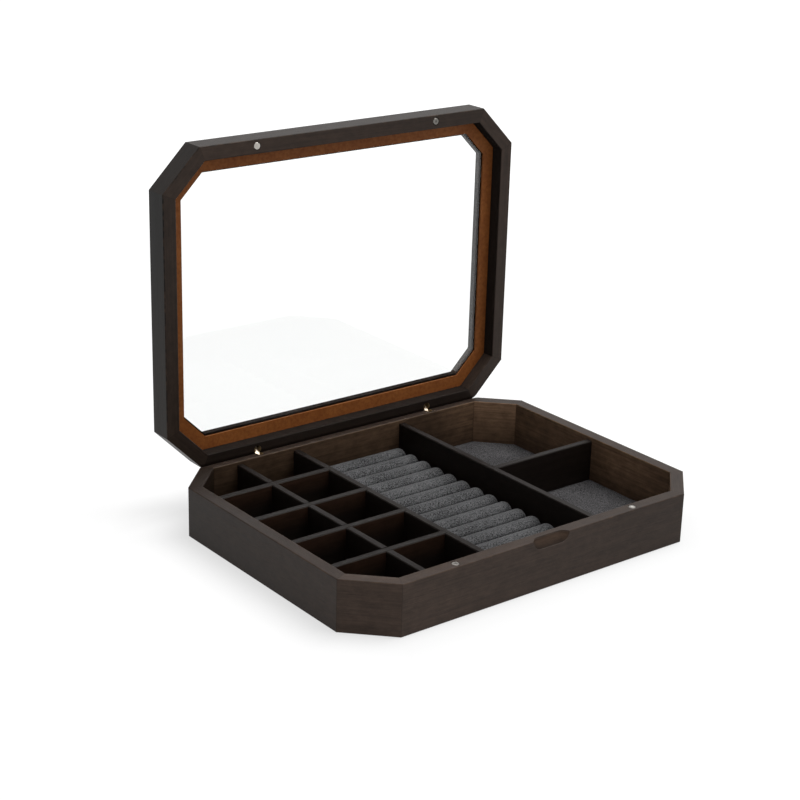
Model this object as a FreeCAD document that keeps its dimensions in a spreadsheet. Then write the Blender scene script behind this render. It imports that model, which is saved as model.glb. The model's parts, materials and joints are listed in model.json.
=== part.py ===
import FreeCAD, Part
import math
import os
import Sketcher

# Eight-sided wooden jewelry box with a glass lid, shown with the lid open on its stop.
# X runs along the front, Y from front to back and Z up. The origin is under the middle of the base.

doc = FreeCAD.newDocument("jewelry_box")

sizes = {
    # base
    "box_width": 300.0,
    "box_depth": 227.0,
    "base_height": 36.2,
    "corner_cut": 28.5,
    "base_wall": 9.3,
    "edge_round": 0.7,
    # bottom panel in its rabbet
    "panel_thickness": 2.6,
    "panel_ledge": 4.5,
    "panel_clearance": 0.15,
    # dividers
    "divider_thickness": 5.0,
    "divider_drop": 2.5,
    "divider_bevel": 0.5,
    "housing_depth": 2.0,
    "joint_clearance": 0.05,
    # felt pads
    "felt_thickness": 1.2,
    "felt_clearance": 0.4,
    # ring rolls and their board
    "roll_board_thickness": 1.5,
    "roll_board_clearance": 0.3,
    "roll_height": 13.7,
    "roll_shoulder": 8.4,
    "roll_foot_inset": 0.8,
    "roll_gap": 0.6,
    "roll_end_gap": 1.2,
    "roll_end_round": 4.5,
    "roll_end_shrink": 0.18,
    # lid
    "lid_height": 18.0,
    "lid_gap": 0.3,
    "lid_rim": 10.0,
    "lid_recess": 9.6,
    "lip_reach": 10.6,
    "lip_round": 0.5,
    "glass_thickness": 2.0,
    "glass_clearance": 0.3,
    "strip_thickness": 1.2,
    "strip_width": 9.4,
    "strip_clearance": 0.2,
    # magnets
    "magnet_spread": 153.0,
    "magnet_diameter": 5.5,
    "magnet_thickness": 3.0,
    "magnet_chamfer": 0.5,
    "magnet_clearance": 0.05,
    # thumb scoop
    "scoop_length": 31.0,
    "scoop_depth": 4.5,
    "scoop_radius": 7.5,
    # barrel hinges
    "hinge_spread": 153.0,
    "hinge_setback": 4.6,
    "barrel_diameter": 6.0,
    "barrel_length": 12.0,
    "barrel_clearance": 0.05,
    "barrel_slot": 3.2,
    "pin_offset": 5.0,
    "pin_diameter": 1.6,
    "pin_length": 5.0,
    "pin_clearance": 0.05,
    "leaf_thickness": 1.0,
    "leaf_width": 2.8,
    "leaf_end": 1.5,
    "leaf_bevel": 1.0,
    "link_clearance": 0.8,
    "open_angle": 90.0,
}

column_count = 2
row_count = 5
roll_count = 14
roll_end_steps = 3
leaf_count = 3
past_end = 2.0

sheet = doc.addObject("Spreadsheet::Sheet", "Dims")
for row, (alias, size) in enumerate(sizes.items(), 1):
    sheet.set(f"A{row}", alias)
    sheet.set(f"B{row}", str(size))
    sheet.setAlias(f"B{row}", alias)
doc.recompute()


# Number that an expression gives with the sheet's present sizes.
def value(expression):
    return float(sheet.evalExpression(expression))


# Derived heights and places, as expressions on the sheet.
mitre = "tan(22.5)"
inner_x = "(Dims.box_width / 2 - Dims.base_wall)"
inner_y = "(Dims.box_depth / 2 - Dims.base_wall)"
divider_top = "(Dims.base_height - Dims.divider_drop)"
roll_foot = "(Dims.panel_thickness + Dims.roll_board_thickness)"
section_width = f"((2 * {inner_x} - 2 * Dims.divider_thickness) / 3)"
long_divider_x = f"(({section_width} + Dims.divider_thickness) / 2)"
column_pitch = f"(({section_width} + Dims.divider_thickness) / {column_count})"
column_divider_x = f"(-{inner_x} + {column_pitch} - Dims.divider_thickness / 2)"
row_pitch = f"((2 * {inner_y} + Dims.divider_thickness) / {row_count})"
lid_foot = "(Dims.base_height + Dims.lid_gap)"
lid_top = "(Dims.base_height + Dims.lid_gap + Dims.lid_height)"
lip_thickness = "(Dims.lid_height - Dims.lid_recess - Dims.strip_thickness - Dims.glass_thickness)"
glass_top = f"({lid_top} - {lip_thickness})"
hinge_y = "(Dims.box_depth / 2 - Dims.hinge_setback)"
parting_z = "(Dims.base_height + Dims.lid_gap / 2)"
swing_radius = "(Dims.pin_offset - Dims.lid_gap / 2)"
lean = "(Dims.open_angle / 2)"

# Each hinge turns on two pins by half the open angle, which swings the lid about this line.
swing_y = f"({hinge_y} + Dims.pin_offset * tan(Dims.open_angle / 4))"

nodes = []
cuts = []


# Registers a finished piece as a node under its own name.
def finish(piece, name):
    piece.Label = name
    nodes.append(piece)


# Turns a piece backwards about a line that runs along X.
def swing(piece, angle, y, z):
    backwards = FreeCAD.Rotation(FreeCAD.Vector(-1, 0, 0), value(angle))
    piece.Placement = FreeCAD.Placement(FreeCAD.Vector(0, 0, 0), backwards)
    piece.setExpression("Placement.Rotation.Angle", angle)
    piece.setExpression("Placement.Base.y", f"{y} - {y} * cos({angle}) - {z} * sin({angle})")
    piece.setExpression("Placement.Base.z", f"{z} + {y} * sin({angle}) - {z} * cos({angle})")


# Pieces of the lid are drawn as on the shut box and then opened.
def swing_open(piece):
    swing(piece, "Dims.open_angle", swing_y, parting_z)


# Corner of the octagon on the front or back side, moved inwards.
def long_corner(sign_x, sign_y, inset):
    x = f"{sign_x} * (Dims.box_width / 2 - Dims.corner_cut - {mitre} * ({inset}))"
    y = f"{sign_y} * (Dims.box_depth / 2 - ({inset}))"
    return x, y


# Corner of the octagon on the left or right side, moved inwards.
def short_corner(sign_x, sign_y, inset):
    x = f"{sign_x} * (Dims.box_width / 2 - ({inset}))"
    y = f"{sign_y} * (Dims.box_depth / 2 - Dims.corner_cut - {mitre} * ({inset}))"
    return x, y


def octagon(inset):
    return [
        long_corner(-1, -1, inset),
        long_corner(1, -1, inset),
        short_corner(1, -1, inset),
        short_corner(1, 1, inset),
        long_corner(1, 1, inset),
        long_corner(-1, 1, inset),
        short_corner(-1, 1, inset),
        short_corner(-1, -1, inset),
    ]


# The two corners at the ends of each of the eight sides, with the side's outward direction.
sides = {
    "front": (lambda inset: (long_corner(-1, -1, inset), long_corner(1, -1, inset)), (0, -1)),
    "right": (lambda inset: (short_corner(1, -1, inset), short_corner(1, 1, inset)), (1, 0)),
    "back": (lambda inset: (long_corner(1, 1, inset), long_corner(-1, 1, inset)), (0, 1)),
    "left": (lambda inset: (short_corner(-1, 1, inset), short_corner(-1, -1, inset)), (-1, 0)),
    "front_right": (lambda inset: (long_corner(1, -1, inset), short_corner(1, -1, inset)), (1, -1)),
    "back_right": (lambda inset: (short_corner(1, 1, inset), long_corner(1, 1, inset)), (1, 1)),
    "back_left": (lambda inset: (long_corner(-1, 1, inset), short_corner(-1, 1, inset)), (-1, 1)),
    "front_left": (lambda inset: (short_corner(-1, -1, inset), long_corner(-1, -1, inset)), (-1, -1)),
}
back_sides = ("back", "back_left", "back_right")


# Plan of one mitred board between two insets from the outer faces.
def board_plan(side, outer, inner):
    ends = sides[side][0]
    near_start, near_end = ends(outer)
    far_start, far_end = ends(inner)
    return [near_start, near_end, far_end, far_start]


def rectangle(x_from, x_to, y_from, y_to):
    return [(x_from, y_from), (x_to, y_from), (x_to, y_to), (x_from, y_to)]


def new_body(name):
    return doc.addObject("PartDesign::Body", name)


# Empty sketch on one of the body's own planes, raised along the plane's normal.
def new_sketch(body, plane, height="0"):
    sketch = body.newObject("Sketcher::SketchObject", "Sketch")
    support = [item for item in body.Origin.OriginFeatures if item.Role == plane][0]
    sketch.AttachmentSupport = [(support, "")]
    sketch.MapMode = "FlatFace"
    sketch.setExpression("AttachmentOffset.Base.z", height)
    return sketch


# Holds a point of the sketch at a place given by two expressions.
def pin_point(sketch, item, point, x, y):
    for kind, expression in (("DistanceX", x), ("DistanceY", y)):
        rule = Sketcher.Constraint(kind, -1, 1, item, point, value(expression))
        index = sketch.addConstraint(rule)
        sketch.setExpression(f"Constraints[{index}]", expression)


def vector(x, y):
    return FreeCAD.Vector(value(x), value(y), 0)


# Closed outline of straight edges.
def add_outline(sketch, points):
    first = sketch.GeometryCount
    count = len(points)
    for step in range(count):
        start = vector(*points[step])
        end = vector(*points[(step + 1) % count])
        sketch.addGeometry(Part.LineSegment(start, end), False)
    for step in range(count):
        sketch.addConstraint(
            Sketcher.Constraint("Coincident", first + step, 2, first + (step + 1) % count, 1)
        )
    for step, (x, y) in enumerate(points):
        pin_point(sketch, first + step, 1, x, y)


def add_circle(sketch, x, y, radius):
    ring = Part.Circle(vector(x, y), FreeCAD.Vector(0, 0, 1), value(radius))
    item = sketch.addGeometry(ring, False)
    pin_point(sketch, item, 3, x, y)
    index = sketch.addConstraint(Sketcher.Constraint("Radius", item, value(radius)))
    sketch.setExpression(f"Constraints[{index}]", radius)


# Arc that closes a gap in an outline, counterclockwise, held by its ends and its radius.
def add_arc(sketch, centre, radius, start_angle, end_angle, start_joint, end_joint):
    ring = Part.Circle(vector(*centre), FreeCAD.Vector(0, 0, 1), value(radius))
    item = sketch.addGeometry(Part.ArcOfCircle(ring, start_angle, end_angle), False)
    sketch.addConstraint(Sketcher.Constraint("Coincident", item, 1, *start_joint))
    sketch.addConstraint(Sketcher.Constraint("Coincident", item, 2, *end_joint))
    index = sketch.addConstraint(Sketcher.Constraint("Radius", item, value(radius)))
    sketch.setExpression(f"Constraints[{index}]", radius)


# Chain of straight edges, left open for an arc.
def add_chain(sketch, points):
    first = sketch.GeometryCount
    last = len(points) - 2
    for step in range(last + 1):
        sketch.addGeometry(Part.LineSegment(vector(*points[step]), vector(*points[step + 1])), False)
    for step in range(last):
        sketch.addConstraint(Sketcher.Constraint("Coincident", first + step, 2, first + step + 1, 1))
    for step in range(last + 1):
        pin_point(sketch, first + step, 1, *points[step])
    pin_point(sketch, first + last, 2, *points[-1])
    return first, first + last


def extrude(body, kind, sketch, length, reverse=False, symmetric=False):
    feature = body.newObject(kind, "Extrusion")
    feature.Profile = sketch
    feature.setExpression("Length", length)
    feature.Reversed = reverse
    if symmetric:
        feature.SideType = "Symmetric"
    return feature


def pad(body, points, height, length, plane="XY_Plane", symmetric=False):
    sketch = new_sketch(body, plane, height)
    add_outline(sketch, points)
    return extrude(body, "PartDesign::Pad", sketch, length, symmetric=symmetric)


# Cuts one or more outlines; from above unless reversed.
def pocket(body, outlines, height, length, reverse=False):
    sketch = new_sketch(body, "XY_Plane", height)
    for points in outlines:
        add_outline(sketch, points)
    cuts.append(extrude(body, "PartDesign::Pocket", sketch, length, reverse))


def bore(body, centres, radius, height, length, reverse=False):
    sketch = new_sketch(body, "XY_Plane", height)
    for x, y in centres:
        add_circle(sketch, x, y, radius)
    cuts.append(extrude(body, "PartDesign::Pocket", sketch, length, reverse))


# Rounds or bevels the edges that the test picks from the body's present shape.
def ease(body, kind, size_name, size, test):
    doc.recompute()
    base = body.Tip
    picked = []
    for index, edge in enumerate(base.Shape.Edges, 1):
        if test(edge):
            picked.append(f"Edge{index}")
    feature = body.newObject(kind, "Eased")
    feature.Base = (base, picked)
    feature.setExpression(size_name, size)


def same(first, second):
    return abs(first - second) < 1e-4


# True for an edge that runs along a board at a height and an inset from the board's outer face.
def runs_at(edge, side, height, inset):
    across, along = sides[side][1]
    length = math.hypot(across, along)
    face = value("Dims.box_width") / 2 * abs(across) + value("Dims.box_depth") / 2 * abs(along)
    if across and along:
        face -= value("Dims.corner_cut")
    if len(edge.Vertexes) < 2:
        return False
    for vertex in edge.Vertexes:
        depth = (face - vertex.X * across - vertex.Y * along) / length
        if not same(vertex.Z, height) or not same(depth, inset):
            return False
    return True


def round_board(body, side, lines, radius):
    def picked(edge):
        for height, inset in lines:
            if runs_at(edge, side, value(height), value(inset)):
                return True
        return False

    ease(body, "PartDesign::Fillet", "Radius", radius, picked)


# Rounded bevel along the back edge, so that lid and base roll past each other about the hinge pins.
# The direction is 1 for the base, whose bevel falls away from the parting plane, and -1 for the lid.
def bevel_back(body, direction):
    sketch = new_sketch(body, "YZ_Plane")
    pin_z = f"({parting_z} - {direction} * Dims.pin_offset)"
    crown = (hinge_y, f"{pin_z} + {direction} * {swing_radius}")
    turn_y = f"({hinge_y} + {swing_radius} * sin({lean}))"
    turn_z = f"({pin_z} + {direction} * {swing_radius} * cos({lean}))"
    outside_y = f"(Dims.box_depth / 2 + {past_end})"
    outside_z = f"({turn_z} - {direction} * ({outside_y} - {turn_y}) * tan({lean}))"
    clear_z = f"({parting_z} + {direction} * {past_end})"
    first, last = add_chain(
        sketch,
        [(turn_y, turn_z), (outside_y, outside_z), (outside_y, clear_z), (hinge_y, clear_z), crown],
    )
    upright = math.pi / 2
    tilted = math.radians(90 - value(lean))
    if direction > 0:
        add_arc(sketch, (hinge_y, pin_z), swing_radius, tilted, upright, (first, 1), (last, 2))
    else:
        add_arc(sketch, (hinge_y, pin_z), swing_radius, -upright, -tilted, (last, 2), (first, 1))
    width = f"(Dims.box_width + {past_end})"
    cuts.append(extrude(body, "PartDesign::Pocket", sketch, width, symmetric=True))


# Way behind each barrel in which the links lean out.
def link_way(body, direction):
    low = f"(Dims.leaf_width / 2 / cos({lean}) + Dims.link_clearance)"
    reach = f"(Dims.hinge_setback + {past_end})"
    start_z = f"({parting_z} - {direction} * (Dims.pin_offset + {low}))"
    end_z = f"({start_z} + {direction} * {reach} / tan({lean}))"
    clear_z = f"({parting_z} + {direction} * ({reach} + {past_end}))"
    points = [
        (hinge_y, start_z),
        (f"({hinge_y} + {reach})", end_z),
        (f"({hinge_y} + {reach})", clear_z),
        (hinge_y, clear_z),
    ]
    for sign in (-1, 1):
        sketch = new_sketch(body, "YZ_Plane", f"{sign} * Dims.hinge_spread / 2")
        add_outline(sketch, points)
        width = "(Dims.barrel_slot + 2 * Dims.link_clearance)"
        cuts.append(extrude(body, "PartDesign::Pocket", sketch, width, symmetric=True))


magnet_y = "(-Dims.box_depth / 2 + Dims.base_wall / 2)"
magnet_places = [(f"({sign} * Dims.magnet_spread / 2)", magnet_y) for sign in (-1, 1)]
hinge_places = [(f"({sign} * Dims.hinge_spread / 2)", hinge_y) for sign in (-1, 1)]
magnet_bore = "(Dims.magnet_diameter / 2 + Dims.magnet_clearance)"
magnet_bore_depth = "(Dims.magnet_thickness + Dims.magnet_clearance)"
barrel_bore = "(Dims.barrel_diameter / 2 + Dims.barrel_clearance)"
barrel_bore_depth = "(Dims.barrel_length + Dims.barrel_clearance)"
pin_hole = "(Dims.pin_diameter / 2 + Dims.pin_clearance)"
housing_half = "(Dims.divider_thickness / 2 + Dims.joint_clearance)"
housing = "(Dims.housing_depth + Dims.joint_clearance)"


# Upright grooves in the front or back board, which take the ends of the long dividers.
def long_housings(sign_y):
    outlines = []
    for x in (column_divider_x, f"(-{long_divider_x})", long_divider_x):
        near = f"{sign_y} * ({inner_y} - {past_end})"
        far = f"{sign_y} * ({inner_y} + {housing})"
        outlines.append(rectangle(f"{x} - {housing_half}", f"{x} + {housing_half}", near, far))
    return outlines


# Middle lines of the cross dividers on the left or on the right.
def cross_places(side):
    if side == "right":
        return ["0"]
    first = f"-{inner_y} - Dims.divider_thickness / 2"
    return [f"({first} + {row_pitch} * {row})" for row in range(1, row_count)]


# Outline across each cross divider's thickness, from one X to another.
def across_dividers(side, x_from, x_to):
    outlines = []
    for y in cross_places(side):
        outlines.append(rectangle(x_from, x_to, f"{y} - {housing_half}", f"{y} + {housing_half}"))
    return outlines


# Upright grooves in the left or right board, which take the ends of the cross dividers.
def cross_housings(side):
    sign_x = -1 if side == "left" else 1
    near = f"{sign_x} * ({inner_x} - {past_end})"
    far = f"{sign_x} * ({inner_x} + {housing})"
    return across_dividers(side, near, far)


# Scoop for a thumb in the front board: a round-ended channel that breaks the rim and the front face.
def thumb_scoop(body):
    axis_y = "(-Dims.box_depth / 2 - Dims.scoop_radius + Dims.scoop_depth)"
    bite = "sqrt(Dims.scoop_radius ^ 2 - (Dims.scoop_radius - Dims.scoop_depth) ^ 2)"
    half = f"(Dims.scoop_length / 2 - {bite})"
    end = f"({half} + Dims.scoop_radius)"
    crest_y = f"({axis_y} + Dims.scoop_radius)"
    radius = "Dims.scoop_radius"
    sketch = new_sketch(body, "XY_Plane", "Dims.base_height")
    axis, axis_end = add_chain(sketch, [(f"-{end}", axis_y), (end, axis_y)])
    crest, crest_end = add_chain(sketch, [(half, crest_y), (f"-{half}", crest_y)])
    quarter = math.pi / 2
    add_arc(sketch, (half, axis_y), radius, 0, quarter, (axis_end, 2), (crest, 1))
    add_arc(sketch, (f"-{half}", axis_y), radius, quarter, math.pi, (crest_end, 2), (axis, 1))
    groove = body.newObject("PartDesign::Groove", "Scoop")
    groove.Profile = sketch
    groove.ReferenceAxis = (sketch, ["Edge1"])
    groove.Angle = 360
    cuts.append(groove)


def base_board(side):
    body = new_body(f"base_{side}")
    pad(body, board_plan(side, "0", "Dims.base_wall"), "0", "Dims.base_height")
    lines = [("0", "0"), ("Dims.base_height", "Dims.base_wall")]
    if side not in back_sides:
        lines.append(("Dims.base_height", "0"))
    round_board(body, side, lines, "Dims.edge_round")
    rabbet = board_plan(side, "Dims.base_wall - Dims.panel_ledge", f"Dims.base_wall + {past_end}")
    pocket(body, [rabbet], "0", "Dims.panel_thickness", reverse=True)
    if side in ("front", "back"):
        pocket(body, long_housings(sides[side][1][1]), divider_top, divider_top)
    if side in ("left", "right"):
        pocket(body, cross_housings(side), divider_top, divider_top)
    if side == "front":
        bore(body, magnet_places, magnet_bore, "Dims.base_height", magnet_bore_depth)
        thumb_scoop(body)
    if side == "back":
        bore(body, hinge_places, barrel_bore, "Dims.base_height", barrel_bore_depth)
        link_way(body, 1)
    if side in back_sides:
        bevel_back(body, 1)
    finish(body, f"base_{side}_board")


def lid_rail(side):
    body = new_body(f"lid_{side}")
    reach = "(Dims.lid_rim + Dims.lip_reach)"
    pad(body, board_plan(side, "0", reach), lid_foot, "Dims.lid_height")
    round_board(body, side, [(lid_top, reach)], "Dims.lip_round")
    rabbet = board_plan(side, "Dims.lid_rim", f"{reach} + {past_end}")
    pocket(body, [rabbet], lid_foot, f"Dims.lid_height - {lip_thickness}", reverse=True)
    lines = [(lid_top, "0"), (lid_foot, "Dims.lid_rim")]
    if side not in back_sides:
        lines.append((lid_foot, "0"))
    round_board(body, side, lines, "Dims.edge_round")
    if side == "front":
        bore(body, magnet_places, magnet_bore, lid_foot, magnet_bore_depth, reverse=True)
    if side == "back":
        bore(body, hinge_places, barrel_bore, lid_foot, barrel_bore_depth, reverse=True)
        link_way(body, -1)
    if side in back_sides:
        bevel_back(body, -1)
    swing_open(body)
    finish(body, f"lid_{side}_rail")


def bottom_panel():
    body = new_body("panel")
    inset = "Dims.base_wall - Dims.panel_ledge + Dims.panel_clearance"
    pad(body, octagon(inset), "0", "Dims.panel_thickness")
    finish(body, "bottom_panel")


divider_height = f"({divider_top} - Dims.panel_thickness)"
lap_depth = f"({divider_height} / 2 + Dims.joint_clearance)"


def bevel_divider(body, along_x):
    def picked(edge):
        top = value(divider_top)
        size = edge.BoundBox.XLength if along_x else edge.BoundBox.YLength
        return same(edge.BoundBox.ZMin, top) and same(edge.BoundBox.ZMax, top) and size > 1.0

    ease(body, "PartDesign::Chamfer", "Size", "Dims.divider_bevel", picked)


# Divider from front to back, let into both boards.
def long_divider(name, x):
    body = new_body(name)
    half = "Dims.divider_thickness / 2"
    end = f"({inner_y} + Dims.housing_depth)"
    plan = rectangle(f"{x} - {half}", f"{x} + {half}", f"-{end}", end)
    pad(body, plan, "Dims.panel_thickness", divider_height)
    bevel_divider(body, along_x=False)
    return body


# Housings in a long divider for the ends of the cross dividers on one side of it.
def divider_housings(body, x, side):
    sign_x = -1 if side == "left" else 1
    face = f"({x} + {sign_x} * Dims.divider_thickness / 2)"
    near = f"{face} + {sign_x} * {past_end}"
    far = f"{face} - {sign_x} * {housing}"
    pocket(body, across_dividers(side, near, far), divider_top, divider_height)


def long_dividers():
    column = long_divider("column", column_divider_x)
    near = f"{column_divider_x} - Dims.divider_thickness"
    far = f"{column_divider_x} + Dims.divider_thickness"
    pocket(column, across_dividers("left", near, far), divider_top, lap_depth)
    finish(column, "column_divider")
    left = long_divider("left_long", f"(-{long_divider_x})")
    divider_housings(left, f"(-{long_divider_x})", "left")
    finish(left, "left_long_divider")
    right = long_divider("right_long", long_divider_x)
    divider_housings(right, long_divider_x, "right")
    finish(right, "right_long_divider")


# Divider from a side board to the nearest long divider; those on the left cross the column divider.
def cross_divider(name, side, y):
    sign_x = -1 if side == "left" else 1
    body = new_body(name)
    half = "Dims.divider_thickness / 2"
    wall_end = f"{sign_x} * ({inner_x} + Dims.housing_depth)"
    inner_end = f"{sign_x} * ({long_divider_x} + {half} - Dims.housing_depth)"
    plan = rectangle(wall_end, inner_end, f"{y} - {half}", f"{y} + {half}")
    pad(body, plan, "Dims.panel_thickness", divider_height)
    bevel_divider(body, along_x=True)
    if side == "left":
        lap = rectangle(
            f"{column_divider_x} - {housing_half}",
            f"{column_divider_x} + {housing_half}",
            f"{y} - Dims.divider_thickness",
            f"{y} + Dims.divider_thickness",
        )
        pocket(body, [lap], "Dims.panel_thickness", lap_depth, reverse=True)
    finish(body, name)


# Felt pad on the floor of one bay; a bay beside a corner board has that corner cut off.
def felt_pad(name, x_from, x_to, y_from, y_to, corner=None):
    body = new_body(name)
    gap = "Dims.felt_clearance"
    points = rectangle(f"{x_from} + {gap}", f"{x_to} - {gap}", f"{y_from} + {gap}", f"{y_to} - {gap}")
    if corner:
        sign_x, sign_y = corner
        inset = "Dims.base_wall + Dims.felt_clearance"
        cut = [long_corner(sign_x, sign_y, inset), short_corner(sign_x, sign_y, inset)]
        place = {(-1, -1): 0, (1, -1): 1, (1, 1): 2, (-1, 1): 3}[corner]
        if sign_x * sign_y > 0:
            cut.reverse()
        points = points[:place] + cut + points[place + 1:]
    pad(body, points, "Dims.panel_thickness", "Dims.felt_thickness")
    finish(body, name)


def felt_pads():
    half = "Dims.divider_thickness / 2"
    columns = [
        (f"(-{inner_x})", f"({column_divider_x} - {half})"),
        (f"({column_divider_x} + {half})", f"(-{long_divider_x} - {half})"),
    ]
    for column, (x_from, x_to) in enumerate(columns):
        for row in range(row_count):
            y_from = f"(-{inner_y} + {row_pitch} * {row})"
            y_to = f"({y_from} + {row_pitch} - Dims.divider_thickness)"
            corner = None
            if column == 0 and row == 0:
                corner = (-1, -1)
            if column == 0 and row == row_count - 1:
                corner = (-1, 1)
            felt_pad(f"felt_pad_{column + 1}_{row + 1}", x_from, x_to, y_from, y_to, corner)
    large_from = f"({long_divider_x} + {half})"
    felt_pad("felt_pad_large_front", large_from, inner_x, f"(-{inner_y})", f"(-{half})", (1, -1))
    felt_pad("felt_pad_large_back", large_from, inner_x, half, inner_y, (1, 1))


def roll_board():
    body = new_body("roll_mount")
    edge_x = f"({long_divider_x} - Dims.divider_thickness / 2 - Dims.roll_board_clearance)"
    edge_y = f"({inner_y} - Dims.roll_board_clearance)"
    plan = rectangle(f"-{edge_x}", edge_x, f"-{edge_y}", edge_y)
    pad(body, plan, "Dims.panel_thickness", "Dims.roll_board_thickness")
    finish(body, "ring_roll_board")


roll_pitch = f"(2 * {inner_y} / {roll_count})"
roll_half = f"({roll_pitch} / 2 - Dims.roll_gap / 2)"
roll_end = f"({long_divider_x} - Dims.divider_thickness / 2 - Dims.roll_end_gap)"


# Cross-section of a roll: flat foot, sides that widen from the foot to the shoulder, and a round crown.
# The share tells how far the section shrinks towards the middle of its foot.
def roll_section(body, x, share):
    scale = f"(1 - Dims.roll_end_shrink * {share})"
    half = f"({roll_half} * {scale})"
    foot = f"(({roll_half} - Dims.roll_foot_inset) * {scale})"
    shoulder_z = f"({roll_foot} + Dims.roll_shoulder * {scale})"
    crown_z = f"({roll_foot} + Dims.roll_height * {scale})"
    crown_rise = f"({crown_z} - {shoulder_z})"
    crown_radius = f"(({half} ^ 2 / {crown_rise} + {crown_rise}) / 2)"
    centre = ("0", f"{crown_z} - {crown_radius}")
    start = math.asin(value(f"1 - {crown_rise} / {crown_radius}"))
    left = [(f"-{half}", shoulder_z), (f"-{foot}", roll_foot)]
    right = [(foot, roll_foot), (half, shoulder_z)]
    sketch = new_sketch(body, "YZ_Plane", x)
    first, last = add_chain(sketch, left + right)
    add_arc(sketch, centre, crown_radius, start, math.pi - start, (last, 2), (first, 1))
    return sketch


# Padded roll along X, its ends drawn in and rounded down by a quarter turn in equal steps.
def ring_rolls():
    master = new_body("roll")
    quarter = []
    for step in range(roll_end_steps + 1):
        turn = f"({step} * 90 / {roll_end_steps})"
        x = f"({roll_end} - Dims.roll_end_round * (1 - cos({turn})))"
        quarter.append((x, f"(1 - sin({turn}))"))
    places = [(f"-{x}", share) for x, share in quarter] + quarter[::-1]
    sections = [roll_section(master, x, share) for x, share in places]
    loft = master.newObject("PartDesign::AdditiveLoft", "Roll")
    loft.Profile = sections[0]
    loft.Sections = sections[1:]
    loft.Ruled = True
    for number in range(roll_count):
        roll = copy_of(master)
        roll.setExpression("Placement.Base.y", f"-{inner_y} + {roll_pitch} * ({number} + 0.5)")
        finish(roll, f"ring_roll_{number + 1:02d}")


# Body that follows another body's shape.
def copy_of(body):
    twin = doc.addObject("PartDesign::Body", f"{body.Name}_copy")
    base = doc.addObject("PartDesign::FeatureBase", "Copy")
    base.BaseFeature = body
    twin.Group = [base]
    twin.Tip = base
    return twin


# Several solids that share a node.
def group(name, pieces):
    bundle = doc.addObject("Part::Compound", name)
    bundle.Links = pieces
    finish(bundle, name)


def glass_pane():
    body = new_body("glass")
    foot = f"({glass_top} - Dims.glass_thickness)"
    pad(body, octagon("Dims.lid_rim + Dims.glass_clearance"), foot, "Dims.glass_thickness")
    swing_open(body)
    finish(body, "glass_pane")


def glass_strip():
    body = new_body("strip")
    foot = f"({glass_top} - Dims.glass_thickness - Dims.strip_thickness)"
    sketch = new_sketch(body, "XY_Plane", foot)
    add_outline(sketch, octagon("Dims.lid_rim + Dims.strip_clearance"))
    add_outline(sketch, octagon("Dims.lid_rim + Dims.strip_width"))
    extrude(body, "PartDesign::Pad", sketch, "Dims.strip_thickness")
    swing_open(body)
    finish(body, "glass_strip")


# Two disc magnets, flush with a rim and bevelled where they show.
def magnets(foot, rim):
    def picked(edge):
        return same(edge.BoundBox.ZMin, value(rim)) and same(edge.BoundBox.ZMax, value(rim))

    pieces = []
    for x, y in magnet_places:
        body = new_body("magnet")
        sketch = new_sketch(body, "XY_Plane", foot)
        add_circle(sketch, x, y, "Dims.magnet_diameter / 2")
        extrude(body, "PartDesign::Pad", sketch, "Dims.magnet_thickness")
        ease(body, "PartDesign::Chamfer", "Size", "Dims.magnet_chamfer", picked)
        pieces.append(body)
    return pieces


# Hinge pieces mirror each other at the parting plane: the direction is 1 for the base, -1 for the lid.
def pin_height(direction):
    return f"({parting_z} - {direction} * Dims.pin_offset)"


# Slotted brass barrel, its mouth bevelled like the back edge around it.
def hinge_barrel(x, direction):
    body = new_body("barrel")
    mouth = "Dims.base_height" if direction > 0 else lid_foot
    lid_side = direction < 0
    sketch = new_sketch(body, "XY_Plane", mouth)
    add_circle(sketch, x, hinge_y, "Dims.barrel_diameter / 2")
    extrude(body, "PartDesign::Pad", sketch, "Dims.barrel_length", reverse=not lid_side)
    half = "Dims.barrel_slot / 2"
    far = "Dims.barrel_diameter"
    slot = rectangle(f"{x} - {half}", f"{x} + {half}", f"{hinge_y} - {far}", f"{hinge_y} + {far}")
    depth = f"({swing_radius} + Dims.leaf_end + Dims.link_clearance)"
    pocket(body, [slot], mouth, depth, reverse=lid_side)
    hole = new_sketch(body, "YZ_Plane", x)
    add_circle(hole, hinge_y, pin_height(direction), pin_hole)
    cuts.append(extrude(body, "PartDesign::Pocket", hole, "2 * Dims.barrel_diameter", symmetric=True))
    bevel_back(body, direction)
    return body


# Pin that holds the leaves together and turns in the barrel of the base or of the lid.
def hinge_pin(x, direction):
    body = new_body("pin")
    sketch = new_sketch(body, "YZ_Plane", x)
    add_circle(sketch, hinge_y, pin_height(direction), "Dims.pin_diameter / 2")
    extrude(body, "PartDesign::Pad", sketch, "Dims.pin_length", symmetric=True)
    swing(body, lean, hinge_y, pin_height(1))
    return body


# Flat link leaf with a hole at each end, drawn upright as on the shut box and then leant back.
def link_leaf(x, step):
    def picked(edge):
        return edge.BoundBox.DiagonalLength < value("Dims.leaf_thickness") + 1e-3

    body = new_body("leaf")
    half = "Dims.leaf_width / 2"
    low = pin_height(1)
    high = pin_height(-1)
    middle = f"{x} + {step} * Dims.leaf_thickness"
    plan = rectangle(
        f"{hinge_y} - {half}",
        f"{hinge_y} + {half}",
        f"{low} - Dims.leaf_end",
        f"{high} + Dims.leaf_end",
    )
    pad(body, plan, middle, "Dims.leaf_thickness", plane="YZ_Plane", symmetric=True)
    ease(body, "PartDesign::Chamfer", "Size", "Dims.leaf_bevel", picked)
    holes = new_sketch(body, "YZ_Plane", middle)
    for z in (low, high):
        add_circle(holes, hinge_y, z, pin_hole)
    cuts.append(extrude(body, "PartDesign::Pocket", holes, "2 * Dims.leaf_thickness", symmetric=True))
    swing(body, lean, hinge_y, low)
    return body


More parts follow.
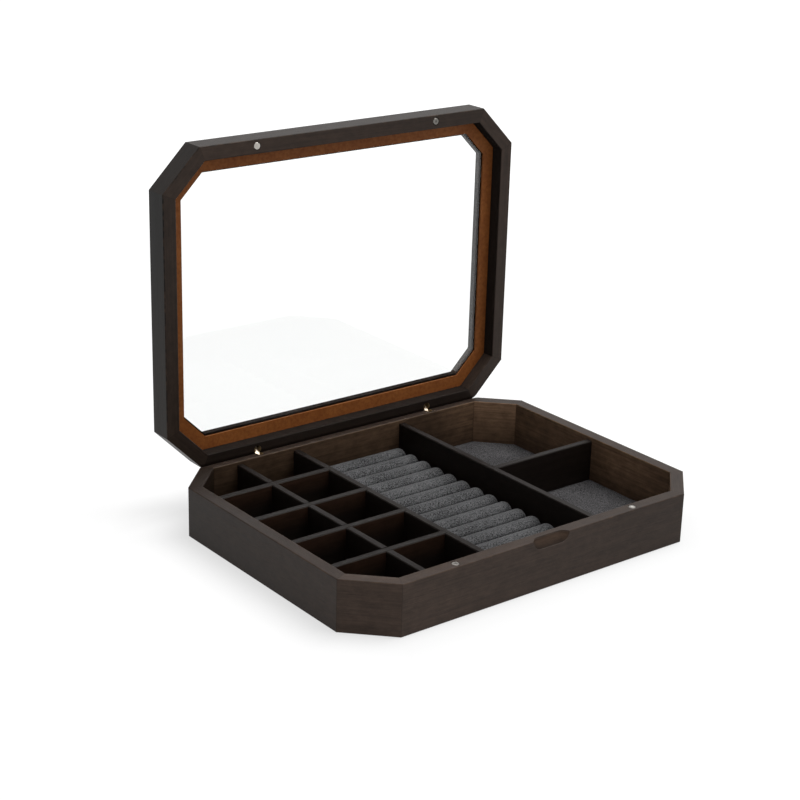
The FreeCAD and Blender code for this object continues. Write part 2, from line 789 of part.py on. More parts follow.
def hinges():
    for name, (x, y) in zip(("left", "right"), hinge_places):
        leaves = [link_leaf(x, step - (leaf_count - 1) / 2) for step in range(leaf_count)]
        pins = [hinge_pin(x, direction) for direction in (1, -1)]
        group(f"{name}_hinge_links", leaves + pins)
    for name, direction in (("base", 1), ("lid", -1)):
        barrels = [hinge_barrel(x, direction) for x, y in hinge_places]
        if name == "lid":
            for piece in barrels:
                swing_open(piece)
        group(f"{name}_hinge_barrels", barrels)


for side in sides:
    base_board(side)
bottom_panel()
long_dividers()
for number, y in enumerate(cross_places("left"), 1):
    cross_divider(f"left_cross_divider_{number}", "left", y)
cross_divider("right_cross_divider", "right", "0")
felt_pads()
roll_board()
ring_rolls()
group("base_magnets", magnets("Dims.base_height - Dims.magnet_thickness", "Dims.base_height"))
for side in sides:
    lid_rail(side)
glass_pane()
glass_strip()
lid_magnets = magnets(lid_foot, lid_foot)
for piece in lid_magnets:
    swing_open(piece)
group("lid_magnets", lid_magnets)
hinges()
doc.recompute()

for item in doc.Objects:
    if "Invalid" in item.State or "Error" in item.State:
        raise RuntimeError(f"{item.Label} failed: {item.State}")
for cut in cuts:
    if cut.Shape.Volume > cut.BaseFeature.Shape.Volume - 1e-6:
        raise RuntimeError(f"{cut.Label} cuts nothing")
for piece in nodes:
    if piece.Shape.isNull() or not piece.Shape.isValid():
        raise RuntimeError(f"{piece.Label} has no valid shape")

os.makedirs("parts", exist_ok=True)
for piece in nodes:
    piece.Shape.exportStep(f"parts/{piece.Label}.step")
print(len(nodes), "nodes")
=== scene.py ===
import json
import math
import bmesh
import bpy
from mathutils import Matrix, Vector

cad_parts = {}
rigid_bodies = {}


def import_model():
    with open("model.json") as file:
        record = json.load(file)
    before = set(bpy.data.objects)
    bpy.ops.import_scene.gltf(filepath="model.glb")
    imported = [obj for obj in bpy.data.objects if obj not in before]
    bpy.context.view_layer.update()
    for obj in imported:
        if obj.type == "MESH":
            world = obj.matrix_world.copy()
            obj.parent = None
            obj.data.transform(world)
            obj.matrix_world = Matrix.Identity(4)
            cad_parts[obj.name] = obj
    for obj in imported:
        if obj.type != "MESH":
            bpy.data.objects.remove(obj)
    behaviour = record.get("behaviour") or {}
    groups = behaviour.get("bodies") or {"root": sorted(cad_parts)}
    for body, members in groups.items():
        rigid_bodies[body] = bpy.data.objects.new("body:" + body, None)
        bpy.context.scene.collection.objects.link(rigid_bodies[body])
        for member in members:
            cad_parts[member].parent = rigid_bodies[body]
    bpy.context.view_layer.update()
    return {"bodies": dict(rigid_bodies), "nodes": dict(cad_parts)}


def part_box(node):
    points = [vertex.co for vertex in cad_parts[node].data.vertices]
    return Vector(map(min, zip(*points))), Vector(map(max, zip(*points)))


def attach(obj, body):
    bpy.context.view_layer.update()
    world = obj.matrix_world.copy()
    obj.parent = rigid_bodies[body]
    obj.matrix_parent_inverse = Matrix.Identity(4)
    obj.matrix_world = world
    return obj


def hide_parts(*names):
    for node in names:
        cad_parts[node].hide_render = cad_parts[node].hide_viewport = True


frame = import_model()
nodes = frame["nodes"]

# what a new file opens with is cleared away, the frame stays
kept = set(nodes.values()) | set(frame["bodies"].values())
for leftOver in [item for item in bpy.data.objects if item not in kept]:
    bpy.data.objects.remove(leftOver)
print("frame loaded:", len(nodes), "nodes")


# small helpers for node trees

def place(tree, kind, **settings):
    node = tree.nodes.new(kind)
    for key, setting in settings.items():
        setattr(node, key, setting)
    return node


def plug(tree, value, socket):  # a socket is linked, anything else is set
    if isinstance(value, bpy.types.NodeSocket):
        tree.links.new(value, socket)
    else:
        socket.default_value = value


def calc(tree, operation, *values):
    node = place(tree, "ShaderNodeMath", operation=operation)
    for value, socket in zip(values, node.inputs):
        plug(tree, value, socket)
    return node.outputs[0]


def stretch(tree, vector, factors):
    node = place(tree, "ShaderNodeVectorMath", operation="MULTIPLY")
    plug(tree, vector, node.inputs[0])
    plug(tree, factors, node.inputs[1])
    return node.outputs[0]


def cloud(tree, vector, scale, detail=2.0, rough=0.5):
    node = place(tree, "ShaderNodeTexNoise")
    plug(tree, vector, node.inputs["Vector"])
    plug(tree, scale, node.inputs["Scale"])
    plug(tree, detail, node.inputs["Detail"])
    plug(tree, rough, node.inputs["Roughness"])
    return node.outputs[0]


def ramp(tree, value, low, high, toLow=0.0, toHigh=1.0):
    node = place(tree, "ShaderNodeMapRange")
    for setting, socket in zip((value, low, high, toLow, toHigh), node.inputs):
        plug(tree, setting, socket)
    return node.outputs[0]


def swing(tree, value, weight=1.0):  # how far a cloud is from its middle
    return calc(tree, "MULTIPLY", calc(tree, "SUBTRACT", value, 0.5), weight)


def mixColours(tree, share, first, second, blend="MIX"):  # sockets 6, 7 and 2 are the colour ones
    node = place(tree, "ShaderNodeMix", data_type="RGBA", blend_type=blend)
    plug(tree, share, node.inputs[0])
    plug(tree, first, node.inputs[6])
    plug(tree, second, node.inputs[7])
    return node.outputs[2]


def newGroup(name, inputs, outputs):
    group = bpy.data.node_groups.new(name, "ShaderNodeTree")
    for label, kind, start in inputs:
        socket = group.interface.new_socket(name=label, in_out="INPUT", socket_type="NodeSocket" + kind)
        socket.default_value = start
    for label, kind in outputs:
        group.interface.new_socket(name=label, in_out="OUTPUT", socket_type="NodeSocket" + kind)
    return group, place(group, "NodeGroupInput").outputs, place(group, "NodeGroupOutput").inputs


def useGroup(tree, group, **values):
    node = place(tree, "ShaderNodeGroup", node_tree=group)
    for label, value in values.items():
        plug(tree, value, node.inputs[label])
    return node.outputs


def newFinish(name, **plain):  # plain values go straight onto the shader
    finish = bpy.data.materials.new(name)
    finish.use_nodes = True
    tree = finish.node_tree
    tree.nodes.clear()
    output = place(tree, "ShaderNodeOutputMaterial")
    shader = place(tree, "ShaderNodeBsdfPrincipled")
    tree.links.new(shader.outputs[0], output.inputs["Surface"])
    for label, value in plain.items():
        shader.inputs[label.replace("_", " ")].default_value = value
    return finish, tree, shader


def relief(tree, shader, height, distance):
    bump = place(tree, "ShaderNodeBump")
    plug(tree, distance, bump.inputs["Distance"])
    plug(tree, height, bump.inputs["Height"])
    plug(tree, bump.outputs[0], shader.inputs["Normal"])


def ownPlace(tree, shift=(0, 0, 0), turn=(0, 0, 0)):  # object coordinates, shifted and turned
    where = place(tree, "ShaderNodeTexCoord").outputs["Object"]
    if not any(shift) and not any(turn):
        return where
    mapping = place(tree, "ShaderNodeMapping")
    plug(tree, where, mapping.inputs["Vector"])
    mapping.inputs["Location"].default_value = shift
    mapping.inputs["Rotation"].default_value = [math.radians(angle) for angle in turn]
    return mapping.outputs[0]


def dress(name, finish):
    nodes[name].data.materials.clear()
    nodes[name].data.materials.append(finish)


# camera where the photograph was taken from

cameraSpec = dict(
    target=(0.08255, 0.15128, 0.03000),
    distance=1.41864,
    azimuth=-38.442,
    elevation=20.491,
    roll=1.6,
    lens=82.329,
    sensor=36.0,
    clip=(0.05, 50),
)


def addCamera(spec):
    turn, lift, lean = (math.radians(spec[key]) for key in ("azimuth", "elevation", "roll"))
    back = Vector((math.sin(turn) * math.cos(lift), -math.cos(turn) * math.cos(lift), math.sin(lift)))
    right = Vector((math.cos(turn), math.sin(turn), 0))
    up = back.cross(right)
    leanRight = right * math.cos(lean) + up * math.sin(lean)
    leanUp = up * math.cos(lean) - right * math.sin(lean)
    lens = bpy.data.cameras.new("camera")
    lens.sensor_width = spec["sensor"]
    lens.lens = spec["lens"]
    lens.clip_start, lens.clip_end = spec["clip"]
    camera = bpy.data.objects.new("camera", lens)
    bpy.context.collection.objects.link(camera)
    facing = Matrix((leanRight, leanUp, back)).transposed().to_4x4()
    camera.matrix_world = Matrix.Translation(Vector(spec["target"]) + back * spec["distance"]) @ facing
    bpy.context.scene.camera = camera


addCamera(cameraSpec)
print("camera set")


# stained wood: long streaks and short pores drawn out along X, and a mottled stain

grainSpec = dict(
    streakScale=(9, 640, 640),
    poreScale=(70, 1900, 1900),
    stainScale=(110, 190, 190),
    poreReach=(0.3, 0.46),
    poreShare=0.45,
    streakRough=(0.3, 0.7, 0.42, 0.52),
    poreRough=-0.05,
    streakHeight=0.6,
    poreHeight=0.4,
)


def woodGrainGroup(spec):
    group, given, out = newGroup(
        "stainedWoodGrain",
        [("Vector", "Vector", (0, 0, 0)), ("Dark", "Color", (0.02, 0.012, 0.008, 1)),
         ("Light", "Color", (0.04, 0.026, 0.018, 1)), ("Streaks", "Float", 0.8)],
        [("Color", "Color"), ("Roughness", "Float"), ("Height", "Float")],
    )
    where = given["Vector"]
    streaks = cloud(group, stretch(group, where, spec["streakScale"]), 1.0, detail=5.0, rough=0.62)
    pores = cloud(group, stretch(group, where, spec["poreScale"]), 1.0, detail=2.0, rough=0.6)
    stain = cloud(group, stretch(group, where, spec["stainScale"]), 1.0, detail=4.0, rough=0.68)
    poreDip = ramp(group, pores, *spec["poreReach"])
    share = calc(group, "ADD", swing(group, streaks, given["Streaks"]), swing(group, stain))
    share = calc(group, "ADD", share, 0.5)
    shade = mixColours(group, ramp(group, share, 0, 1), given["Dark"], given["Light"])
    poreShare = calc(group, "MULTIPLY", calc(group, "SUBTRACT", 1.0, poreDip), spec["poreShare"])
    plug(group, mixColours(group, poreShare, shade, given["Dark"]), out["Color"])
    rough = calc(group, "ADD", ramp(group, streaks, *spec["streakRough"]),
                 calc(group, "MULTIPLY", poreDip, spec["poreRough"]))
    plug(group, rough, out["Roughness"])
    height = calc(group, "ADD", calc(group, "MULTIPLY", streaks, spec["streakHeight"]),
                  calc(group, "MULTIPLY", poreDip, spec["poreHeight"]))
    plug(group, height, out["Height"])
    return group


# how deep a point lies inside the eight-sided outline, and how near it is to a mitre

mitreReach = (0.0001, 0.0004)  # from where a mitre line is full to where it ends


def outlineGroup():
    group, given, out = newGroup(
        "eightSidedOutline",
        [("Along", "Float", 0.0), ("Across", "Float", 0.0), ("Half Length", "Float", 0.15),
         ("Half Width", "Float", 0.1125), ("Corner Cut", "Float", 0.028)],
        [("Depth", "Float"), ("Mitre", "Float")],
    )
    along = calc(group, "ABSOLUTE", given["Along"])
    across = calc(group, "ABSOLUTE", given["Across"])
    side = calc(group, "SUBTRACT", given["Half Length"], along)
    front = calc(group, "SUBTRACT", given["Half Width"], across)
    corner = calc(group, "SUBTRACT", calc(group, "ADD", side, front), given["Corner Cut"])
    corner = calc(group, "MULTIPLY", corner, math.sqrt(0.5))
    depth = calc(group, "MINIMUM", calc(group, "MINIMUM", side, front), corner)
    second = calc(group, "MAXIMUM", calc(group, "MINIMUM", side, front),
                  calc(group, "MINIMUM", calc(group, "MAXIMUM", side, front), corner))
    plug(group, depth, out["Depth"])
    plug(group, ramp(group, calc(group, "SUBTRACT", second, depth), *mitreReach, 1.0, 0.0), out["Mitre"])
    return group


woodGrain = woodGrainGroup(grainSpec)
eightSided = outlineGroup()

boardWood = dict(
    dark=(0.013, 0.0086, 0.0066, 1),
    light=(0.044, 0.0292, 0.0218, 1),
    insideDark=(0.026, 0.0145, 0.0085, 1),
    insideLight=(0.150, 0.092, 0.056, 1),
    worn=(0.075, 0.046, 0.030, 1),
    mitreLine=(0.008, 0.005, 0.0035, 1),
    mitreShare=0.3,
    sunkShade=(0.4, 1.0),
    streaks=(0.8, 1.0),
    specular=0.125,
    ior=1.48,
    grainDepth=0.00006,
    wearReach=(0.0001, 0.0009),
    wearShare=0.6,
    scuffScale=160.0,
    scuffReach=(0.42, 0.66),
    faceReach=(0.0005, 0.0009),  # these reaches are depths below an outer face, a wall or the rim
    wallReach=(0.0006, 0.0002),
    rimReach=(0.0009, 0.0004),
    sunkRise=0.006,
    cutShare=0.15,
    scoopFront=(0.0001, 0.0004),
    scoopBack=(0.001, 0.0007),
    scoopTop=(0.0011, 0.0008),
    scoopLip=(0.0065, 0.0035, 0.4, 1.1),
    scoopEnd=(-0.0155, -0.0085, 0.15, 1.0),
    recessReach=(0.0096, 0.0099),
    sunkRoughness=0.92,
)

# painted light and shade: tone of each board's outside, and of its inside or, on the lid, its mating face
boardTones = {
    "base_front": (1.12, 1.0),
    "base_front_left": (1.6, 1.0),
    "base_left": (0.95, 1.0),
    "base_back": (1.0, 1.25),
    "base_back_left": (0.65, 0.12),
    "base_back_right": (1.0, 2.3),
    "base_right": (1.15, 1.7),
    "lid_left": (0.34, 0.85),
    "lid_back": (0.42, 0.42),
    "lid_back_left": (0.7, 0.7),
    "lid_front": (0.5, 1.1),
    "lid_front_left": (0.4, 1.0),
}

# painted light and shade: how the tone changes along a board: axis, from, to and the two tones
outsideFades = {
    "base_front": [("X", -0.12, 0.12, 1.32, 0.85)],
    "base_left": [("Y", -0.08, 0.08, 1.08, 0.7)],
    "lid_left": [("Z", 0.12, 0.2, 1.0, 0.3)],
}
# painted light and shade on the faces towards the bays and the lid's mating face, in the same columns
insideFades = {
    "base_back": [("X", -0.15, 0.045, 0.76, 1.38), ("X", 0.075, 0.11, 0.45, 1.1),
                  ("X", 0.047, 0.052, 1.0, 0.68)],
    "base_right": [("Y", -0.085, -0.04, 0.7, 1.0), ("Y", -0.04, 0.085, 1.0, 0.65),
                   ("Z", 0.018, 0.033, 1.25, 0.88)],
    "lid_front": [("X", -0.09, 0.09, 1.08, 0.72)],
}

# painted shade on the walls of the lid's recess
recessTones = {"lid_right": (0.4, 0.4, 0.4, 1), "lid_front_right": (0.25, 0.25, 0.25, 1)}


def tinted(colour, tone):
    return tuple(part * tone for part in colour[:3]) + (1,)


def below(top, reach):  # two places that far below a top
    return [top - depth for depth in reach]


def scoopShade(tree, spot, depth, spec):  # painted shade: the scoop is darker low down and at its left end
    cut = calc(tree, "MULTIPLY", ramp(tree, depth, *spec["scoopFront"]),
               ramp(tree, depth, *below(wallDepth, spec["scoopBack"]), 1.0, 0.0))
    cut = calc(tree, "MULTIPLY", cut, ramp(tree, spot["Z"], *below(rimHeight, spec["scoopTop"]), 1.0, 0.0))
    low, high, *tones = spec["scoopLip"]
    lip = ramp(tree, spot["Z"], *below(rimHeight, (low, high)), *tones)
    end = ramp(tree, spot["X"], *spec["scoopEnd"])
    return cut, calc(tree, "MULTIPLY", lip, end)


def fadeAlong(tree, tone, spot, fades):
    for axis, *reach in fades:
        tone = calc(tree, "MULTIPLY", tone, ramp(tree, spot[axis], *reach))
    return tone


def boardFinish(board, turn, shift, lying):
    spec = boardWood
    tones = boardTones.get(board, (1.0, 1.0))
    label = "".join(part.title() for part in board.split("_")) + "Wood"
    finish, tree, shader = newFinish(label, Specular_IOR_Level=spec["specular"], IOR=spec["ior"])
    parts = place(tree, "ShaderNodeSeparateXYZ")
    plug(tree, ownPlace(tree), parts.inputs[0])
    across = parts.outputs["Y"] if lying else calc(tree, "SUBTRACT", parts.outputs["Z"], lidMiddle)
    outline = useGroup(tree, eightSided, Along=parts.outputs["X"], Across=across, **outlineSizes)
    rim = parts.outputs["Z"] if lying else calc(tree, "MULTIPLY", parts.outputs["Y"], -1.0)
    rimTop = rimHeight if lying else -lidFace
    inside = ramp(tree, outline["Depth"], *spec["faceReach"])
    if lying:  # faces towards the bays are browner, the scoop a little
        sunk = ramp(tree, rim, *below(rimTop, spec["rimReach"]), spec["cutShare"], 0.0)
        wall = ramp(tree, outline["Depth"], *below(wallDepth, spec["wallReach"]))
        inside = calc(tree, "MAXIMUM", calc(tree, "MULTIPLY", inside, sunk), wall)
    innerKeys = ("insideDark", "insideLight") if lying else ("dark", "light")
    dark, light = (mixColours(tree, inside, tinted(spec[outer], tones[0]), tinted(spec[inner], tones[1]))
                   for outer, inner in zip(("dark", "light"), innerKeys))
    grain = useGroup(tree, woodGrain, Vector=ownPlace(tree, shift, turn), Dark=dark, Light=light,
                     Streaks=ramp(tree, inside, 0.0, 1.0, *spec["streaks"]))
    shade = grain["Color"]
    # painted light and shade along the board's outside
    if board in outsideFades:
        fade = fadeAlong(tree, 1.0, parts.outputs, outsideFades[board])
        shade = mixColours(tree, calc(tree, "SUBTRACT", 1.0, inside), shade, fade, "MULTIPLY")
    if lying or board in insideFades:  # painted shade, darker low down in the bays, with the painted fades along the board
        fade = ramp(tree, rim, panelTop, rimTop - spec["sunkRise"], *spec["sunkShade"]) if lying else 1.0
        fade = fadeAlong(tree, fade, parts.outputs, insideFades.get(board, []))
        shade = mixColours(tree, inside, shade, fade, "MULTIPLY")
    rough = grain["Roughness"]
    if board == "base_front" or not lying:  # painted shade in the scoop, or in the recess inside the lid's mating face
        if lying:
            cut, tone = scoopShade(tree, parts.outputs, outline["Depth"], spec)
        else:
            cut = ramp(tree, outline["Depth"], *spec["recessReach"])
            tone = recessTones.get(board, (1, 1, 1, 1))
        shade = mixColours(tree, cut, shade, tone, "MULTIPLY")
        rough = calc(tree, "MAXIMUM", rough, calc(tree, "MULTIPLY", cut, spec["sunkRoughness"]))
    wearNear, wearFar = spec["wearReach"]
    nearRim = ramp(tree, rim, rimTop - wearFar, rimTop - wearNear)
    nearOutside = ramp(tree, outline["Depth"], wearNear, wearFar, 1.0, 0.0)
    scuff = cloud(tree, ownPlace(tree), spec["scuffScale"], detail=3.0, rough=0.6)
    scuff = ramp(tree, scuff, *spec["scuffReach"])
    wear = calc(tree, "MULTIPLY", calc(tree, "MULTIPLY", nearRim, nearOutside), scuff)
    shade = mixColours(tree, calc(tree, "MULTIPLY", wear, spec["wearShare"]), shade, spec["worn"])
    mitre = calc(tree, "MULTIPLY", outline["Mitre"], spec["mitreShare"])
    shade = mixColours(tree, mitre, shade, spec["mitreLine"])
    plug(tree, shade, shader.inputs["Base Color"])
    plug(tree, rough, shader.inputs["Roughness"])
    relief(tree, shader, calc(tree, "SUBTRACT", grain["Height"], mitre), spec["grainDepth"])
    return finish


frontLow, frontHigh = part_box("base_front_board")
rimHeight = frontHigh.z
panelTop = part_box("bottom_panel")[1].z
wallDepth = frontHigh.y - frontLow.y
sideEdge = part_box("base_right_board")[1].x
outlineSizes = {"Half Length": sideEdge, "Half Width": -frontLow.y, "Corner Cut": sideEdge - frontHigh.x}
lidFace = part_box("lid_front_rail")[0].y
lidMiddle = (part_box("lid_back_rail")[0].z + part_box("lid_front_rail")[1].z) / 2

# turns that lay each board's grain along X, flat for the base and upright for the open lid
boardTurns = {
    "front": 0, "back": 0, "left": -90, "right": -90,
    "front_right": -45, "back_left": -45, "front_left": 45, "back_right": 45,
}
grainStep = (0.31, 0.17, 0.07)  # so that no two boards have the same grain
for number, (side, turn) in enumerate(boardTurns.items()):
    shift = [step * number for step in grainStep]
    for body, kind, angles in (("base", "board", (0, 0, turn)), ("lid", "rail", (0, turn, 0))):
        board = f"{body}_{side}"
        dress(f"{board}_{kind}", boardFinish(board, angles, shift, body == "base"))
print("boards and rails stained")


# divider strips: black stained, the short ones on the left with painted light, browner near the top and
# fading to black lower down

dividerWood = dict(
    dark=(0.0035, 0.0022, 0.0016, 1),
    light=(0.011, 0.0075, 0.006, 1),
    brownDark=(0.0098, 0.0048, 0.003, 1),
    brownLight=(0.038, 0.0192, 0.0116, 1),
    paintedLightReach=(0.015, 0.002),
    topReach=(0.0006, 0.0003),
    grainShift=(0.2, 0.4, 0.1),
    specular=0.1,
    ior=1.48,
    grainDepth=0.00005,
)


def dividerFinish(name, turn, dark, light):
    spec = dividerWood
    finish, tree, shader = newFinish(name, Specular_IOR_Level=spec["specular"], IOR=spec["ior"])
    parts = place(tree, "ShaderNodeSeparateXYZ")
    plug(tree, ownPlace(tree), parts.inputs[0])
    # painted light on the left dividers: browner near the top, black lower down in the bays
    raised = calc(tree, "MULTIPLY", ramp(tree, parts.outputs["Z"], *below(dividerTop, spec["paintedLightReach"])),
                  ramp(tree, parts.outputs["Z"], *below(dividerTop, spec["topReach"]), 1.0, 0.0))
    grain = useGroup(tree, woodGrain, Vector=ownPlace(tree, spec["grainShift"], (0, 0, turn)),
                     Dark=mixColours(tree, raised, spec["dark"], spec[dark]),
                     Light=mixColours(tree, raised, spec["light"], spec[light]))
    plug(tree, grain["Color"], shader.inputs["Base Color"])
    plug(tree, grain["Roughness"], shader.inputs["Roughness"])
    relief(tree, shader, grain["Height"], spec["grainDepth"])
    return finish


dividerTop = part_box("column_divider")[1].z
longStrip = dividerFinish("longDividerWood", -90, "dark", "light")
crossStrip = dividerFinish("crossDividerWood", 0, "dark", "light")
leftStrip = dividerFinish("leftDividerWood", 0, "brownDark", "brownLight")
for name in nodes:
    if "cross_divider" in name:
        dress(name, leftStrip if name.startswith("left") else crossStrip)
    elif name.endswith("divider"):
        dress(name, longStrip)


# hidden boards: bottom panel and the board under the rolls

panelBoard = dict(
    dark=(0.012, 0.009, 0.007, 1),
    light=(0.03, 0.022, 0.017, 1),
    extraRough=0.3,
    grainShift=(0.6, 0.3, 0.2),
    specular=0.1,
    grainDepth=0.00008,
)


def panelFinish(name, turn):
    spec = panelBoard
    finish, tree, shader = newFinish(name, Specular_IOR_Level=spec["specular"])
    where = ownPlace(tree, spec["grainShift"], (0, 0, turn))
    grain = useGroup(tree, woodGrain, Vector=where, Dark=spec["dark"], Light=spec["light"])
    plug(tree, grain["Color"], shader.inputs["Base Color"])
    plug(tree, calc(tree, "ADD", grain["Roughness"], spec["extraRough"]), shader.inputs["Roughness"])
    relief(tree, shader, grain["Height"], spec["grainDepth"])
    return finish


dress("bottom_panel", panelFinish("bottomPanelWood", 0))
dress("ring_roll_board", panelFinish("rollBoardWood", -90))
print("dividers and panel stained")


# short napped cloth: salt and pepper fibres with slow shading

napSpec = dict(
    tuftScale=0.45,  # as shares of the fibres' scale
    brushScale=0.03,
    fibreSwing=3.8,
    tuftSwing=0.4,
    brushSwing=0.6,
    tuftRough=(0.3, 0.7, 0.86, 0.98),
    fibreHeight=0.6,
    tuftHeight=0.4,
)


def napGroup(spec):
    group, given, out = newGroup(
        "nappedCloth",
        [("Vector", "Vector", (0, 0, 0)), ("Dark", "Color", (0.04, 0.04, 0.042, 1)),
         ("Light", "Color", (0.16, 0.16, 0.165, 1)), ("Fibre", "Float", 1500.0)],
        [("Color", "Color"), ("Roughness", "Float"), ("Height", "Float")],
    )
    where = given["Vector"]
    fibres = cloud(group, where, given["Fibre"], detail=3.0, rough=0.65)
    tufts = cloud(group, where, calc(group, "MULTIPLY", given["Fibre"], spec["tuftScale"]))
    brushed = cloud(group, where, calc(group, "MULTIPLY", given["Fibre"], spec["brushScale"]))
    share = calc(group, "ADD", swing(group, fibres, spec["fibreSwing"]),
                 swing(group, tufts, spec["tuftSwing"]))
    share = calc(group, "ADD", share, swing(group, brushed, spec["brushSwing"]))
    share = calc(group, "ADD", share, 0.5)
    plug(group, mixColours(group, ramp(group, share, 0, 1), given["Dark"], given["Light"]), out["Color"])
    plug(group, ramp(group, tufts, *spec["tuftRough"]), out["Roughness"])
    height = calc(group, "ADD", calc(group, "MULTIPLY", fibres, spec["fibreHeight"]),
                  calc(group, "MULTIPLY", tufts, spec["tuftHeight"]))
    plug(group, height, out["Height"])
    return group


nappedCloth = napGroup(napSpec)


def clothFinish(name, spec, row=None):  # row is where a row of rolls starts along Y and its pitch
    finish, tree, shader = newFinish(name, Specular_IOR_Level=spec["specular"], Sheen_Weight=spec["sheen"],
                                     Sheen_Roughness=spec["sheenRough"], Sheen_Tint=spec["sheenTint"])
    nap = useGroup(tree, nappedCloth, Vector=ownPlace(tree), Dark=spec["dark"], Light=spec["light"],
                   Fibre=spec["fibre"])
    shade = nap["Color"]
    if row:  # painted shade in the creases between the rolls
        parts = place(tree, "ShaderNodeSeparateXYZ")
        plug(tree, ownPlace(tree), parts.inputs[0])
        start, pitch = row
        turns = calc(tree, "DIVIDE", calc(tree, "SUBTRACT", parts.outputs["Y"], start), pitch)
        away = calc(tree, "ABSOLUTE", calc(tree, "SUBTRACT", calc(tree, "FRACT", turns), 0.5))
        shade = mixColours(tree, 1.0, shade, ramp(tree, away, *spec["crease"]), "MULTIPLY")
    plug(tree, shade, shader.inputs["Base Color"])
    plug(tree, nap["Roughness"], shader.inputs["Roughness"])
    relief(tree, shader, nap["Height"], spec["napDepth"])
    return finish


# felt pads: cut sheets laid in the bays

feltPad = dict(
    dark=(0.006, 0.0058, 0.006, 1),
    light=(0.098, 0.0945, 0.097, 1),
    specular=0.06,
    sheen=0.08,
    sheenRough=0.5,
    sheenTint=(0.5, 0.5, 0.52, 1),
    fibre=1300.0,
    napDepth=0.0002,
    grid=0.0035,
    wave=0.00012,
    waveRate=(310, 270),
    waveShift=(90, 70),
    edgeDrop=0.0003,
    tolerance=0.00001,
)


def padOutline(name, tolerance):  # corners of the pad's top face, in order round its middle
    low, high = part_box(name)
    topSpots = [vert.co for vert in nodes[name].data.vertices if vert.co.z > high.z - tolerance]
    points = {(round(spot.x, 6), round(spot.y, 6)) for spot in topSpots}
    middle = (low + high) / 2
    return sorted(points, key=lambda p: math.atan2(p[1] - middle.y, p[0] - middle.x))


def addPad(name, finish, spec):
    low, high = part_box(name)
    corners = padOutline(name, spec["tolerance"])
    size = high - low
    mesh = bmesh.new()
    columns, rows = (max(2, round(side / spec["grid"])) for side in (size.x, size.y))
    bmesh.ops.create_grid(mesh, x_segments=columns, y_segments=rows, size=0.5)
    for vert in mesh.verts:
        vert.co = Vector((low.x + (vert.co.x + 0.5) * size.x, low.y + (vert.co.y + 0.5) * size.y, high.z))
    for start, end in zip(corners, corners[1:] + corners[:1]):  # trim to the outline
        run = Vector((end[0] - start[0], end[1] - start[1], 0)).normalized()
        bmesh.ops.bisect_plane(mesh, geom=mesh.verts[:] + mesh.edges[:] + mesh.faces[:], dist=1e-7,
                               plane_co=(start[0], start[1], high.z), plane_no=(run.y, -run.x, 0),
                               clear_outer=True)
    rimVerts = {vert for edge in mesh.edges if edge.is_boundary for vert in edge.verts}
    (rateX, rateY), (shiftX, shiftY) = spec["waveRate"], spec["waveShift"]
    for vert in mesh.verts:
        swell = math.sin(vert.co.x * rateX + low.y * shiftX) * math.sin(vert.co.y * rateY + low.x * shiftY)
        vert.co.z += spec["wave"] * (swell - 1) - (spec["edgeDrop"] if vert in rimVerts else 0)
    skirt = bmesh.ops.extrude_face_region(mesh, geom=mesh.faces[:])
    under = [item for item in skirt["geom"] if isinstance(item, bmesh.types.BMVert)]
    for vert in under:
        vert.co.z = low.z
    bmesh.ops.recalc_face_normals(mesh, faces=mesh.faces[:])
    data = bpy.data.meshes.new(name + "_sheet")
    mesh.to_mesh(data)
    mesh.free()
    data.materials.append(finish)
    data.shade_smooth()
    pad = bpy.data.objects.new(name + "_sheet", data)
    bpy.context.collection.objects.link(pad)
    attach(pad, "base")
    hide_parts(name)


feltFinish = clothFinish("greyFelt", feltPad)
padNames = sorted(name for name in nodes if name.startswith("felt_pad"))
for name in padNames:
    addPad(name, feltFinish, feltPad)
print("felt pads laid:", len(padNames))


# ring rolls: one padded roll, blown up under its cover and set out in a row

ringRoll = dict(
    dark=(0.004, 0.004, 0.0042, 1),
    light=(0.127, 0.127, 0.130, 1),
    specular=0.06,
    sheen=0.1,
    sheenRough=0.5,
    sheenTint=(0.6, 0.6, 0.62, 1),
    fibre=1450.0,
    napDepth=0.0003,
    crease=(0.37, 0.43, 1.0, 0.35),
    shoulder=0.0070,
    footInset=0.1,
    crownSquare=2.1,
    footSquare=5.0,
    endRound=0.0052,
    endSquare=3.0,
    noseHeight=0.4,
    around=40,
    along=44,
    endRings=9,
    startShrink=0.0005,
    swellCap=0.00045,
    simScale=10.0,
    pressure=4.0,
    frames=20,
    footHold=0.001,
    unevenness=0.00016,
    lumpScale=95.0,
    lumpMiddle=0.6,
    seed=7,
)


def rollLoop(x, spec, size):  # one ring of points round the roll at x, for a roll that stands on z = 0
    reach = max(0.0, (abs(x) - (size.x / 2 - spec["endRound"])) / spec["endRound"])
    share = max(0.0, 1 - reach ** spec["endSquare"]) ** (1 / spec["endSquare"])
    half, shoulder = size.y / 2, spec["shoulder"]
    nose = size.z * spec["noseHeight"]
    loop = []
    for step in range(spec["around"]):
        turn = 2 * math.pi * step / spec["around"]
        c, s = math.cos(turn), math.sin(turn)
        power = 2 / (spec["crownSquare"] if s >= 0 else spec["footSquare"])
        y = half * math.copysign(abs(c) ** power, c)
        rise = abs(s) ** power
        z = shoulder + (size.z - shoulder) * rise if s >= 0 else shoulder * (1 - rise)
        if s < 0:
            y *= 1 - spec["footInset"] * rise
        loop.append(Vector((x, y * share, nose + (z - nose) * share)))
    return loop


